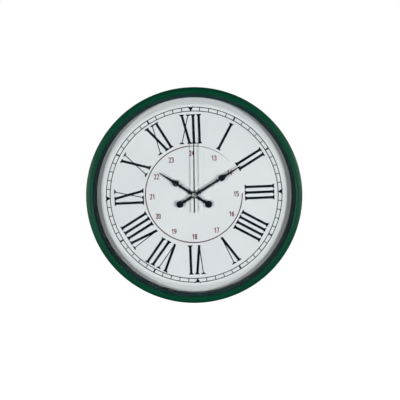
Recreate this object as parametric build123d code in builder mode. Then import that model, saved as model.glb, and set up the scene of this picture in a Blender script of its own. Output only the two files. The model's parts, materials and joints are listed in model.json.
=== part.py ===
from build123d import *
import os
from math import atan2, cos, degrees, hypot, radians, sin, tan

# Round wall clock, 305 mm (12 in) across, with a quartz movement.
# Millimetres, +Z up. The wall is the plane Y = 0 and the dial faces -Y, so "height" below
# always means the distance in front of the wall. The hands turn about the Y axis.

# ---- driving dimensions: case ----
CASE_RADIUS = 152.5          # outside of the bezel
OPENING_RADIUS = 143.1       # inner edge of the bezel
DRUM_RADIUS = 147.0          # outside of the drum behind the bezel
SHEET = 1.2                  # drum and bezel sheet thickness
FLANGE_RADIUS = 151.0        # outward flange of the drum, which carries the bezel
FLANGE_HEIGHT = 28.6         # rear face of that flange
BEZEL_CREST = 48.2           # foremost point of the bezel
DIAL_BACK, DIAL_FACE = 30.0, 31.0
DIAL_FLAT_RADIUS = 126.5     # the dial is flat to here, and its rim then slopes back
DIAL_BEND = 6.0              # radius of that bend, seen in section
DIAL_RIM_SLOPE = 33.0        # degrees
VISIBLE_DIAL_RADIUS = 138.4  # inside of the spacer ring
RING_WALL = 1.4
GLASS_BACK, GLASS_FRONT = 42.0, 44.0
FIT = 0.5                    # radial room of parts laid inside the drum
BACK_PLATE_REAR = 0.6
BACK_PLATE_THICKNESS = 1.5
WINDOW_SIZE = 104.0          # square opening in the back plate, around the movement
KEYHOLE_HEIGHT = 95.0        # entry hole of the keyhole above the hand arbor
KEYHOLE_ENTRY_RADIUS = 4.5
KEYHOLE_SLOT_WIDTH = 4.5
KEYHOLE_RISE = 8.0
BACK_SCREW_CIRCLE, BACK_SCREW_RADIUS, BACK_SCREW_HEAD, BACK_SCREW_LENGTH = 142.2, 1.45, 2.8, 6.0
BEZEL_SCREW_CIRCLE, BEZEL_SCREW_RADIUS, BEZEL_SCREW_HEAD, BEZEL_HEAD_HEIGHT = 149.2, 1.25, 1.75, 1.6
PAD_CIRCLE, PAD_RADIUS = 118.0, 9.0

# ---- driving dimensions: dial print ----
INK = 0.1
TRACK_INNER, TRACK_OUTER, TRACK_LINE = 118.8, 124.2, 1.15
NUMERAL_FOOT, NUMERAL_TOP = 72.3, 114.0
THICK, THIN = 3.6, 1.3      # strokes of the Roman numerals
SERIF_HALF, SERIF_THICK, SERIF_BRACKET = 3.4, 1.0, 1.6
RED_RING, RED_LINE = 68.5, 1.4
RED_RING_CENTRE = (-0.4, 0.9)     # the red ring is printed a little off the arbor
SMALL_NUMERAL_RADIUS = 59.3
DIGIT_HALF_WIDTH, DIGIT_HALF_HEIGHT, DIGIT_STROKE, DIGIT_PITCH = 1.05, 3.3, 1.15, 3.85

# ---- driving dimensions: hands, at ten past ten ----
MINUTE_ANGLE, HOUR_ANGLE, SECOND_ANGLE = 60.0, 305.0, 1.8
HOUR_LAYER, MINUTE_LAYER, SECOND_LAYER = 35.2, 37.4, 40.4
HAND_SHEET = 0.8
SECOND_SHEET = 0.6

# ---- driving dimensions: movement ----
MOVEMENT_HALF = 28.0
MOVEMENT_REAR, MOVEMENT_JOINT, MOVEMENT_FRONT = 13.0, 21.0, 29.0
WALL = 1.2
BATTERY_LEVEL, BATTERY_HEIGHT, BATTERY_RADIUS = -19.5, 20.5, 7.0   # Z, height, radius
BATTERY_LENGTH = 49.2
BAY_TOP = -12.2              # partition between battery bay and gear train
BUSH_RADIUS, BUSH_BORE = 3.3, 2.45
RUN = 0.08                   # radial running clearance of arbors
TEETH = dict(second_pinion=8, third=60, third_pinion=8, centre=64, second=60,
             intermediate_pinion=12, intermediate=48, rotor_pinion=8,
             cannon=12, minute=36, minute_pinion=10, hour=40, setting=12)
LAYERS = dict(second=(16.8, 17.6), second_pinion=(17.6, 20.5), third=(19.2, 20.0),
              third_pinion=(20.0, 22.6), centre=(21.6, 22.5), intermediate_pinion=(16.5, 18.6),
              intermediate=(18.6, 19.4), rotor_pinion=(16.9, 19.8), cannon=(24.0, 25.6),
              minute=(24.3, 25.3), minute_pinion=(25.3, 27.4), hour=(26.2, 27.2),
              setting=(24.0, 25.6))      # bottom and top of each wheel and pinion
THIRD_DISTANCE, THIRD_ANGLE = 10.8, 45.0          # arbor places: distance, angle from +X
INTERMEDIATE_DISTANCE, INTERMEDIATE_ANGLE = 9.0, 180.0
ROTOR_DISTANCE, ROTOR_ANGLE = 7.0, 120.0          # from the intermediate arbor
MINUTE_DISTANCE, SETTING_ANGLE = 9.6, -20.0       # minute wheel; setting shaft twice as far
ARBOR = 0.6


def layer(height, clock_angle=0.0):
    """Plane parallel to the wall at a height; its Y points at a clock angle, its normal at the viewer."""
    turn = radians(clock_angle)
    return Plane((0, -height, 0), x_dir=(cos(turn), 0, -sin(turn)), z_dir=(0, -1, 0))


# Half-plane through the hand arbor: X is the radius and Y the height above the wall.
SECTION = Plane((0, 0, 0), x_dir=(1, 0, 0), z_dir=(0, 0, -1))


def polar(distance, angle, start=(0.0, 0.0)):
    """Point in a layer at a distance and an angle from +X."""
    return (start[0] + distance * cos(radians(angle)), start[1] + distance * sin(radians(angle)))


def prism(bottom, top, outer, inner=0.0, centre=(0.0, 0.0)):
    """Disc, ring or tube between two heights."""
    with BuildPart() as made:
        with BuildSketch(layer(bottom)):
            with Locations(centre):
                Circle(outer)
                if inner:
                    Circle(inner, mode=Mode.SUBTRACT)
        extrude(amount=top - bottom)
    return made


def turned(*profiles):
    """Body of revolution about the hand arbor, from closed profiles of (radius, height) points."""
    with BuildPart() as made:
        with BuildSketch(SECTION):
            for points in profiles:
                Polygon(*points)
        revolve(axis=Axis.Y)
    return made


# ======== case ========

RIM_CREST_RADIUS = 147.2
RIM_SHOULDER = 42.6
LIP_BOTTOM, LIP_TOP, LIP_LEAN = 44.6, 45.6, 0.35
RETURN_RADIUS = DRUM_RADIUS + 0.3
RETURN_BOTTOM = FLANGE_HEIGHT + SHEET

with BuildPart() as bezel:
    with BuildSketch(SECTION):
        with BuildLine():
            Spline((OPENING_RADIUS, LIP_TOP), (RIM_CREST_RADIUS, BEZEL_CREST),
                   (CASE_RADIUS, RIM_SHOULDER), tangents=[(LIP_LEAN, 1), (0, -1)])
            Polyline((CASE_RADIUS, RIM_SHOULDER), (CASE_RADIUS, RETURN_BOTTOM),
                     (RETURN_RADIUS, RETURN_BOTTOM), (RETURN_RADIUS, RETURN_BOTTOM + SHEET),
                     (CASE_RADIUS - SHEET, RETURN_BOTTOM + SHEET), (CASE_RADIUS - SHEET, RIM_SHOULDER))
            Spline((CASE_RADIUS - SHEET, RIM_SHOULDER), (RIM_CREST_RADIUS, BEZEL_CREST - SHEET),
                   (OPENING_RADIUS + SHEET, LIP_BOTTOM), tangents=[(0, 1), (-LIP_LEAN, -1)])
            Line((OPENING_RADIUS + SHEET, LIP_BOTTOM), (OPENING_RADIUS, LIP_BOTTOM))
            Line((OPENING_RADIUS, LIP_BOTTOM), (OPENING_RADIUS, LIP_TOP))
        make_face()
    revolve(axis=Axis.Y)

# Drum: a plain wall that stands on the wall of the room, with three flat rings welded to it:
# one outside for the bezel, and two inside, for the dial and for the back plate.
DRUM_INSIDE = DRUM_RADIUS - SHEET
LAID_IN = DRUM_INSIDE - FIT
REAR_FLANGE_BOTTOM = BACK_PLATE_REAR + BACK_PLATE_THICKNESS
DIAL_SEAT_WIDTH, BACK_SEAT_WIDTH = 5.0, 7.0
DIAL_SHEET = DIAL_FACE - DIAL_BACK
BEND_END = DIAL_FLAT_RADIUS + DIAL_BEND * sin(radians(DIAL_RIM_SLOPE))
BEND_DROP = DIAL_BEND * (1 - cos(radians(DIAL_RIM_SLOPE)))
DIAL_FOOT = DIAL_FACE - BEND_DROP - (VISIBLE_DIAL_RADIUS - BEND_END) * tan(radians(DIAL_RIM_SLOPE))
case_drum = prism(0, GLASS_FRONT, DRUM_RADIUS, DRUM_INSIDE)
dial_seat = prism(DIAL_FOOT - DIAL_SHEET - SHEET, DIAL_FOOT - DIAL_SHEET, DRUM_INSIDE,
                  DRUM_INSIDE - DIAL_SEAT_WIDTH)


def drilled_ring(bottom, outer, inner, hole, circle, count, first):
    """Flat ring of drum sheet with a circle of screw holes."""
    with BuildPart() as made:
        with BuildSketch(layer(bottom)):
            Circle(outer)
            Circle(inner, mode=Mode.SUBTRACT)
            with PolarLocations(circle, count, start_angle=first):
                Circle(hole, mode=Mode.SUBTRACT)
        extrude(amount=SHEET)
    return made


SCREW_ROOM = 0.05
bezel_seat = drilled_ring(FLANGE_HEIGHT, FLANGE_RADIUS, DRUM_RADIUS, BEZEL_SCREW_RADIUS + SCREW_ROOM,
                          BEZEL_SCREW_CIRCLE, 4, 45)
back_seat = drilled_ring(REAR_FLANGE_BOTTOM, DRUM_INSIDE, DRUM_INSIDE - BACK_SEAT_WIDTH,
                         BACK_SCREW_RADIUS + SCREW_ROOM, BACK_SCREW_CIRCLE, 6, 30)

# Bezel screws hold the bezel's return edge down on the drum's outer flange, from behind.
CROSS_LENGTH, CROSS_WIDTH, CROSS_DEPTH = 2.6, 0.5, 0.8
with BuildPart() as bezel_screws:
    with BuildSketch(layer(FLANGE_HEIGHT - BEZEL_HEAD_HEIGHT)):
        with PolarLocations(BEZEL_SCREW_CIRCLE, 4, start_angle=45):
            Circle(BEZEL_SCREW_HEAD)
    extrude(amount=BEZEL_HEAD_HEIGHT)
    with BuildSketch(layer(FLANGE_HEIGHT)):
        with PolarLocations(BEZEL_SCREW_CIRCLE, 4, start_angle=45):
            Circle(BEZEL_SCREW_RADIUS)
    extrude(amount=SHEET)
    with BuildSketch(layer(FLANGE_HEIGHT - BEZEL_HEAD_HEIGHT)):
        with PolarLocations(BEZEL_SCREW_CIRCLE, 4, start_angle=45):
            Rectangle(CROSS_LENGTH, CROSS_WIDTH)
            Rectangle(CROSS_WIDTH, CROSS_LENGTH)
    extrude(amount=CROSS_DEPTH, mode=Mode.SUBTRACT)

# Dial: a flat disc for the print, welded into a pressed surround that slopes back to a flat edge
# under the spacer ring.
BUSH_HOLE = BUSH_RADIUS + 0.2
dial_plate = prism(DIAL_BACK, DIAL_FACE, DIAL_FLAT_RADIUS, BUSH_HOLE)
with BuildPart() as dial_surround:
    with BuildSketch(SECTION):
        with BuildLine():
            CenterArc((DIAL_FLAT_RADIUS, DIAL_FACE - DIAL_BEND), DIAL_BEND, 90, -DIAL_RIM_SLOPE)
            Polyline((BEND_END, DIAL_FACE - BEND_DROP), (VISIBLE_DIAL_RADIUS, DIAL_FOOT),
                     (LAID_IN, DIAL_FOOT), (LAID_IN, DIAL_FOOT - DIAL_SHEET),
                     (VISIBLE_DIAL_RADIUS, DIAL_FOOT - DIAL_SHEET), (BEND_END, DIAL_BACK - BEND_DROP))
            CenterArc((DIAL_FLAT_RADIUS, DIAL_BACK - DIAL_BEND), DIAL_BEND, 90, -DIAL_RIM_SLOPE)
            Line((DIAL_FLAT_RADIUS, DIAL_BACK), (DIAL_FLAT_RADIUS, DIAL_FACE))
        make_face()
    revolve(axis=Axis.Y)

glass = prism(GLASS_BACK, GLASS_FRONT, LAID_IN)
glass_gasket = prism(GLASS_FRONT, LIP_BOTTOM, LAID_IN, OPENING_RADIUS)
spacer_ring = turned([
    (VISIBLE_DIAL_RADIUS, DIAL_FOOT), (VISIBLE_DIAL_RADIUS + RING_WALL, DIAL_FOOT),
    (VISIBLE_DIAL_RADIUS + RING_WALL, GLASS_BACK - RING_WALL), (LAID_IN, GLASS_BACK - RING_WALL),
    (LAID_IN, GLASS_BACK), (VISIBLE_DIAL_RADIUS, GLASS_BACK)])

# Back plate: recessed into the drum, with a window for the movement and a keyhole to hang it by.
HOLE_ROOM = 0.15
with BuildPart() as back_plate:
    with BuildSketch(layer(BACK_PLATE_REAR)):
        Circle(LAID_IN)
        RectangleRounded(WINDOW_SIZE, WINDOW_SIZE, 6, mode=Mode.SUBTRACT)
        with Locations((0, KEYHOLE_HEIGHT)):
            Circle(KEYHOLE_ENTRY_RADIUS, mode=Mode.SUBTRACT)
        with Locations((0, KEYHOLE_HEIGHT + KEYHOLE_RISE / 2)):
            SlotCenterToCenter(KEYHOLE_RISE, KEYHOLE_SLOT_WIDTH, rotation=90, mode=Mode.SUBTRACT)
    extrude(amount=BACK_PLATE_THICKNESS)
    with Locations(Plane((0, -BACK_PLATE_REAR, 0), x_dir=(1, 0, 0), z_dir=(0, 1, 0))):
        with PolarLocations(BACK_SCREW_CIRCLE, 6, start_angle=30):
            CounterSinkHole(BACK_SCREW_RADIUS + HOLE_ROOM, BACK_SCREW_HEAD + 0.1,
                            depth=BACK_PLATE_THICKNESS, counter_sink_angle=90)

# Back plate screws: countersunk heads flush with the plate, in the drum's rear flange.
with BuildPart() as back_plate_screws:
    with BuildSketch(layer(BACK_PLATE_REAR)):
        with PolarLocations(BACK_SCREW_CIRCLE, 6, start_angle=30):
            Circle(BACK_SCREW_HEAD)
    extrude(amount=BACK_SCREW_HEAD - BACK_SCREW_RADIUS, taper=45)
    with BuildSketch(layer(BACK_PLATE_REAR)):
        with PolarLocations(BACK_SCREW_CIRCLE, 6, start_angle=30):
            Circle(BACK_SCREW_RADIUS)
    extrude(amount=BACK_SCREW_LENGTH)
    with BuildSketch(layer(BACK_PLATE_REAR)):
        with PolarLocations(BACK_SCREW_CIRCLE, 6, start_angle=30):
            Rectangle(CROSS_LENGTH, CROSS_WIDTH)
            Rectangle(CROSS_WIDTH, CROSS_LENGTH)
    extrude(amount=CROSS_DEPTH, mode=Mode.SUBTRACT)

with BuildPart() as wall_pads:
    with BuildSketch(layer(0)):
        with PolarLocations(PAD_CIRCLE, 3, start_angle=-90):
            Circle(PAD_RADIUS)
    extrude(amount=BACK_PLATE_REAR)


# ======== dial print ========

def hour_layer(hour):
    """Layer on the dial face whose Y points outwards at an hour."""
    return layer(DIAL_FACE, 30 * hour)


def serif(x, radius, inwards, half=SERIF_HALF, stem=THICK / 2):
    """Flat serif with sloping brackets at the end of a stroke; inwards is -1 at the outer end."""
    Polygon((x - half, radius), (x + half, radius), (x + half, radius + inwards * SERIF_THICK),
            (x + stem, radius + inwards * (SERIF_THICK + SERIF_BRACKET)),
            (x - stem, radius + inwards * (SERIF_THICK + SERIF_BRACKET)),
            (x - half, radius + inwards * SERIF_THICK))


def stroke(outer, inner, width, foot, top):
    """Straight stroke between two radii; outer and inner are its middle's places at its two ends."""
    half = width / 2
    Polygon((outer - half, top), (outer + half, top), (inner + half, foot), (inner - half, foot))


def numeral(strokes, foot=NUMERAL_FOOT, top=NUMERAL_TOP):
    """Roman numeral from strokes of (outer place, inner place, width, inner serif)."""
    for outer, inner, width, footed in strokes:
        stroke(outer, inner, width, foot, top)
        serif(outer, top, -1, stem=width / 2)
        if footed:
            serif(inner, foot, 1, stem=width / 2)


def upright(*places):
    """Letters I at places along the reading direction."""
    return [(place, place, THICK, True) for place in places]


def letter_v(outer_thick, outer_thin, apex):
    return [(outer_thick, apex, THICK, False), (outer_thin, apex, THIN, False)]


def letter_x(outer, inner, thin_outer, thin_inner):
    return [(outer, inner, THICK, True), (thin_outer, thin_inner, THIN, True)]


def leaning(*places):
    """Letters I that lean, from pairs of outer and inner places."""
    return [(outer, inner, THICK, True) for outer, inner in places]


NUMERALS = {
    1: upright(0),
    2: upright(-3.9, 3.9),
    3: upright(-8, 0, 8),
    4: upright(-12, -4, 4, 12),
    5: letter_v(-4.3, 4.1, 0),
    6: letter_v(-1.0, -9.9, -5.4) + upright(7.5),
    7: letter_v(-13.9, -3.3, -8.3) + leaning((6.2, 0.7), (14.7, 9.6)),
    8: letter_v(-8.7, -17.0, -13.1) + upright(-0.9, 7.6, 15.9),
    9: upright(-7.8) + letter_x(-1.2, 8.8, 8.8, -1.1),
    10: letter_x(-4.7, 5.4, 5.4, -5.9),
    11: letter_x(-7.6, 1.3, 1.9, -10.0) + upright(8.0),
    12: letter_x(-12.5, -2.4, -3.2, -13.7) + upright(3.5, 11.6),
}

# The hours aren't quite evenly placed: how far each is moved clockwise and outwards.
NUMERAL_SHIFTS = {
    1: (0, 0.2), 2: (-0.7, 0.4), 3: (-0.2, -0.6), 4: (1.6, -1.4), 5: (-0.2, -0.9), 6: (1.3, -0.9),
    7: (0, 2.0), 8: (-1.3, -1.2), 9: (0.2, -1.0), 10: (-0.3, 0.2), 11: (0.8, 1.3), 12: (-0.7, 0.2)}

with BuildPart() as dial_numerals:
    for hour, strokes in NUMERALS.items():
        with BuildSketch(hour_layer(hour)):
            with Locations(NUMERAL_SHIFTS[hour]):
                numeral(strokes)
        extrude(amount=INK)

TICK_WIDTH, HOUR_TICK_WIDTH = 1.15, 2.3
ARROW_POINT, ARROW_NOTCH, ARROW_TAIL, ARROW_HALF = 117.8, 123.6, 126.2, 4.4
TRACK_MIDDLE = (TRACK_INNER + TRACK_OUTER) / 2
TRACK_WIDTH = TRACK_OUTER - TRACK_INNER
with BuildPart() as dial_minute_track:
    with BuildSketch(layer(DIAL_FACE)):
        for radius in (TRACK_OUTER, TRACK_INNER):
            Circle(radius + TRACK_LINE / 2)
            Circle(radius - TRACK_LINE / 2, mode=Mode.SUBTRACT)
        for minute in range(60):
            if minute % 15:
                width = TICK_WIDTH if minute % 5 else HOUR_TICK_WIDTH
                with PolarLocations(TRACK_MIDDLE, 1, start_angle=6 * minute):
                    Rectangle(TRACK_WIDTH, width)
        with PolarLocations(0, 4):
            Polygon((ARROW_POINT, 0), (ARROW_TAIL, ARROW_HALF), (ARROW_NOTCH, 0), (ARROW_TAIL, -ARROW_HALF))
    extrude(amount=INK)


def bar(start, end):
    """Round-ended straight stroke of a small digit."""
    across, up = end[0] - start[0], end[1] - start[1]
    with Locations(((start[0] + end[0]) / 2, (start[1] + end[1]) / 2)):
        SlotCenterToCenter(hypot(across, up), DIGIT_STROKE, rotation=degrees(atan2(up, across)))


def bow(start, middle, end):
    """Round-ended curved stroke of a small digit."""
    SlotArc(Edge.make_three_point_arc(start, middle, end), DIGIT_STROKE)


def digit(figure, x):
    """Plain condensed digit centred on x."""
    w, h = DIGIT_HALF_WIDTH, DIGIT_HALF_HEIGHT
    left, right = x - w, x + w
    if figure == "1":
        bar((x + 0.4, -h), (x + 0.4, h))
        bar((x + 0.4, h), (left + 0.2, h - 1.3))
    elif figure == "2":
        bow((left, h - w), (x, h), (right, h - w))
        bow((right, h - w), (right - 0.25, 0.6), (left, -h))
        bar((left, -h), (right, -h))
    elif figure == "3":
        bow((left, h - 0.8), (x + 0.3, h), (right, h / 2 + 0.2))
        bow((right, h / 2 + 0.2), (right - 0.3, 0.5), (x - 0.2, 0.1))
        bow((x - 0.2, 0.1), (right - 0.1, -0.5), (right, -h / 2))
        bow((right, -h / 2), (x + 0.2, -h), (left, -h + 0.8))
    elif figure == "4":
        bar((x + 0.5, -h), (x + 0.5, h))
        bar((x + 0.5, h), (left, -h / 3))
        bar((left, -h / 3), (right + 0.2, -h / 3))
    elif figure == "5":
        bar((right, h), (left + 0.1, h))
        bar((left + 0.1, h), (left, 0.4))
        bow((left, 0.4), (x + 0.4, 0.8), (right, -h / 3))
        bow((right, -h / 3), (x + 0.3, -h), (left, -h + 0.7))
    elif figure == "6":
        bow((right, h - 0.6), (left + 0.4, h / 2), (left, -h / 2))
        bow((left, -h / 2), (x, -h), (right, -h / 2))
        bow((right, -h / 2), (x, 0.4), (left, -h / 2))
    elif figure == "7":
        bar((left, h), (right, h))
        bar((right, h), (x - 0.3, -h))
    elif figure == "8":
        bow((left, h / 2), (x, h), (right, h / 2))
        bow((right, h / 2), (x, 0.1), (left, h / 2))
        bow((left, -h / 2), (x, 0.1), (right, -h / 2))
        bow((right, -h / 2), (x, -h), (left, -h / 2))
    elif figure == "9":
        bow((left, -h + 0.6), (right - 0.4, -h / 2), (right, h / 2))
        bow((right, h / 2), (x, h), (left, h / 2))
        bow((left, h / 2), (x, -0.4), (right, h / 2))
    else:
        bow((left, h - w), (x, h), (right, h - w))
        bow((left, -h + w), (x, -h), (right, -h + w))
        bar((left, h - w), (left, -h + w))
        bar((right, h - w), (right, -h + w))


# The small hours aren't either: how many degrees some are turned clockwise from their places.
SMALL_NUMERAL_TURNS = {13: 0.4, 15: 0.8, 16: -0.9, 18: 1.8, 19: 1.3, 20: 1.7, 22: -1.8, 23: -0.9, 24: -1.2}

with BuildPart() as dial_24_hour_print:
    with BuildSketch(layer(DIAL_FACE)):
        with Locations(RED_RING_CENTRE):
            Circle(RED_RING + RED_LINE / 2)
            Circle(RED_RING - RED_LINE / 2, mode=Mode.SUBTRACT)
    extrude(amount=INK)
    for hour in range(13, 25):
        clock_angle = 30 * hour + SMALL_NUMERAL_TURNS.get(hour, 0)
        across, up = polar(SMALL_NUMERAL_RADIUS, 90 - clock_angle)
        with BuildSketch(Plane((across, -DIAL_FACE, up), x_dir=(1, 0, 0), z_dir=(0, -1, 0))):
            tens, ones = str(hour)
            digit(tens, -DIGIT_PITCH / 2)
            digit(ones, DIGIT_PITCH / 2)
        extrude(amount=INK)


# ======== movement: arbor places and gears ========

CENTRE = (0.0, 0.0)
THIRD = polar(THIRD_DISTANCE, THIRD_ANGLE)
INTERMEDIATE = polar(INTERMEDIATE_DISTANCE, INTERMEDIATE_ANGLE)
ROTOR = polar(ROTOR_DISTANCE, ROTOR_ANGLE, INTERMEDIATE)
MINUTE = polar(MINUTE_DISTANCE, SETTING_ANGLE)
SETTING = polar(2 * MINUTE_DISTANCE, SETTING_ANGLE)


def module_of(distance, first, second):
    """Module of a pair of gears at an arbor distance."""
    return 2 * distance / (TEETH[first] + TEETH[second])


def meshed_phase(teeth, mate_teeth, mate_phase, direction):
    """Angle of a gear's first tooth that puts it in mesh with a mate lying opposite to direction."""
    pitch, mate_pitch = 360 / teeth, 360 / mate_teeth
    return direction + 180 + pitch / 2 - (mate_phase - direction) * pitch / mate_pitch


ADDENDUM, DEDENDUM = 0.75, 1.15          # in modules
TIP_SHARE, ROOT_SHARE = 0.26, 0.48       # tooth width as a share of the angular pitch


def gear_face(teeth, module, phase=0.0):
    """Sketch of a straight-flanked clock gear with backlash."""
    pitch = 360 / teeth
    radius = module * teeth / 2
    corners = []
    for tooth in range(teeth):
        middle = phase + tooth * pitch
        for reach, share in ((-DEDENDUM, -ROOT_SHARE), (ADDENDUM, -TIP_SHARE),
                             (ADDENDUM, TIP_SHARE), (-DEDENDUM, ROOT_SHARE)):
            corners.append(polar(radius + reach * module, middle + share * pitch / 2))
    Polygon(*corners)


def arbor_piece(centre, gears=(), rounds=(), bore=0.0):
    """Coaxial gears (name, module, phase) and cylinders (bottom, top, radius), with a bore."""
    levels = [LAYERS[gear] for gear, _, _ in gears] + [step[:2] for step in rounds]
    with BuildPart() as made:
        for gear, module, phase in gears:
            bottom, top = LAYERS[gear]
            with BuildSketch(layer(bottom)):
                with Locations(centre):
                    gear_face(TEETH[gear], module, phase)
            extrude(amount=top - bottom)
        for bottom, top, radius in rounds:
            with BuildSketch(layer(bottom)):
                with Locations(centre):
                    Circle(radius)
            extrude(amount=top - bottom)
        if bore:
            low, high = min(level[0] for level in levels), max(level[1] for level in levels)
            with BuildSketch(layer(low)):
                with Locations(centre):
                    Circle(bore)
            extrude(amount=high - low, mode=Mode.SUBTRACT)
    return made


M_SECOND = module_of(THIRD_DISTANCE, "second_pinion", "third")
M_THIRD = module_of(THIRD_DISTANCE, "third_pinion", "centre")
M_INTERMEDIATE = module_of(INTERMEDIATE_DISTANCE, "intermediate_pinion", "second")
M_ROTOR = module_of(ROTOR_DISTANCE, "rotor_pinion", "intermediate")
M_CANNON = module_of(MINUTE_DISTANCE, "cannon", "minute")
M_HOUR = module_of(MINUTE_DISTANCE, "minute_pinion", "hour")

PIVOT_REAR, PIVOT_FRONT = 13.6, 28.5     # arbors run in blind bearings of the two case halves
SECOND_ARBOR, SECOND_ARBOR_TIP = 0.65, 41.0
PIPE_OUTER, PIPE_INNER = 1.55, SECOND_ARBOR + RUN
PIPE_FOOT, PIPE_TOP = 20.9, 39.2
CLUTCH_RADIUS, CLUTCH_SHEET = 2.4, 0.5
HOUR_PIPE_OUTER, HOUR_PIPE_INNER, HOUR_PIPE_TOP = BUSH_BORE - RUN, PIPE_OUTER + RUN, 36.2
CLOSE = 0.02                 # radial room between pieces fixed to each other
SHORT = 0.1                  # room at the end of a pivot
PLATE_BOTTOM, PLATE_TOP = 22.8, 23.6
BRIDGE_BOTTOM, BRIDGE_TOP = 20.4, 21.0


def meshed_with(gear, mate, mate_phase, direction):
    """Phase that puts a gear in mesh at rest with its mate."""
    return meshed_phase(TEETH[gear], TEETH[mate], mate_phase, direction)


THIRD_PHASE = meshed_with("third", "second_pinion", THIRD_ANGLE, THIRD_ANGLE)
CENTRE_PHASE = meshed_with("centre", "third_pinion", THIRD_ANGLE + 180, THIRD_ANGLE + 180)
INTERMEDIATE_PHASE = meshed_with("intermediate_pinion", "second", 0, INTERMEDIATE_ANGLE)
ROTOR_PHASE = meshed_with("rotor_pinion", "intermediate", ROTOR_ANGLE, ROTOR_ANGLE)
MINUTE_PHASE = meshed_with("minute", "cannon", SETTING_ANGLE, SETTING_ANGLE)
SETTING_PHASE = meshed_with("setting", "minute", MINUTE_PHASE, SETTING_ANGLE)
HOUR_PHASE = meshed_with("hour", "minute_pinion", SETTING_ANGLE + 180, SETTING_ANGLE + 180)

# Second arbor: pivot at the rear, tip flush with the second hand.
second_arbor = arbor_piece(CENTRE, rounds=[(PIVOT_REAR, SECOND_ARBOR_TIP, SECOND_ARBOR)])
second_wheel = arbor_piece(
    CENTRE, [("second", M_INTERMEDIATE, 0), ("second_pinion", M_SECOND, THIRD_ANGLE)],
    bore=SECOND_ARBOR + CLOSE)
third_wheel = arbor_piece(
    THIRD, [("third", M_SECOND, THIRD_PHASE), ("third_pinion", M_THIRD, THIRD_ANGLE + 180)],
    [(PIVOT_REAR, PLATE_TOP - SHORT, ARBOR)])

# Centre wheel: a loose rim that drives the minute arbor by friction, so that the hands can be set.
centre_wheel = arbor_piece(CENTRE, [("centre", M_THIRD, CENTRE_PHASE)], bore=PIPE_OUTER + RUN)
intermediate_wheel = arbor_piece(
    INTERMEDIATE, [("intermediate_pinion", M_INTERMEDIATE, INTERMEDIATE_PHASE),
                   ("intermediate", M_ROTOR, ROTOR_ANGLE)],
    [(PIVOT_REAR, BRIDGE_TOP - SHORT, ARBOR)])

ROTOR_LOW, ROTOR_RADIUS = 14.6, 2.8
rotor_magnet = prism(ROTOR_LOW, LAYERS["rotor_pinion"][0], ROTOR_RADIUS, ARBOR + CLOSE, ROTOR)
rotor_pinion = arbor_piece(ROTOR, [("rotor_pinion", M_ROTOR, ROTOR_PHASE)],
                           [(PIVOT_REAR, BRIDGE_TOP - SHORT, ARBOR)])

# Minute arbor: pipe round the second arbor, with a flange under the centre wheel and the cannon pinion.
minute_arbor = arbor_piece(
    CENTRE, [("cannon", M_CANNON, SETTING_ANGLE)],
    [(PIPE_FOOT, PIPE_FOOT + CLUTCH_SHEET, CLUTCH_RADIUS), (PIPE_FOOT, PIPE_TOP, PIPE_OUTER)],
    bore=PIPE_INNER)
minute_wheel = arbor_piece(
    MINUTE, [("minute", M_CANNON, MINUTE_PHASE), ("minute_pinion", M_HOUR, SETTING_ANGLE + 180)],
    [(PLATE_BOTTOM + SHORT, PIVOT_FRONT, ARBOR)])
hour_wheel = arbor_piece(CENTRE, [("hour", M_HOUR, HOUR_PHASE)],
                         [(LAYERS["hour"][0], HOUR_PIPE_TOP, HOUR_PIPE_OUTER)], bore=HOUR_PIPE_INNER)

SHAFT = 1.2
KNOB_RADIUS, KNOB_LOW, KNOB_HIGH, KNOB_END = 5.0, 9.0, 12.5, 0.4
KNURLS, KNURL_RADIUS = 20, 0.5
setting_shaft = arbor_piece(
    SETTING, [("setting", M_CANNON, SETTING_PHASE)],
    [(KNOB_LOW + KNOB_END, LAYERS["setting"][0], SHAFT), (LAYERS["setting"][1], PIVOT_FRONT, ARBOR)])

with BuildPart() as setting_knob:
    with BuildSketch(layer(KNOB_LOW)):
        with Locations(SETTING):
            Circle(KNOB_RADIUS)
            with PolarLocations(KNOB_RADIUS + 0.2, KNURLS):
                Circle(KNURL_RADIUS, mode=Mode.SUBTRACT)
    extrude(amount=KNOB_HIGH - KNOB_LOW)
    with BuildSketch(layer(KNOB_LOW + KNOB_END)):
        with Locations(SETTING):
            Circle(SHAFT + CLOSE)
    extrude(amount=KNOB_HIGH - KNOB_LOW, mode=Mode.SUBTRACT)


# ======== movement: case, plates, battery ========

INNER = MOVEMENT_HALF - WALL
CORNER = 2.0
with BuildPart() as movement_case_front:
    with BuildSketch(layer(MOVEMENT_FRONT - WALL)):
        RectangleRounded(2 * MOVEMENT_HALF, 2 * MOVEMENT_HALF, CORNER)
        Circle(BUSH_RADIUS + CLOSE, mode=Mode.SUBTRACT)
    extrude(amount=WALL)
    with BuildSketch(layer(MOVEMENT_JOINT)):
        RectangleRounded(2 * MOVEMENT_HALF, 2 * MOVEMENT_HALF, CORNER)
        Rectangle(2 * INNER, 2 * INNER, mode=Mode.SUBTRACT)
    extrude(amount=MOVEMENT_FRONT - WALL - MOVEMENT_JOINT)
    with BuildSketch(layer(MOVEMENT_FRONT - WALL)):
        with Locations(MINUTE, SETTING):
            Circle(ARBOR + RUN)
    extrude(amount=PIVOT_FRONT + SHORT - MOVEMENT_FRONT + WALL, mode=Mode.SUBTRACT)

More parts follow.
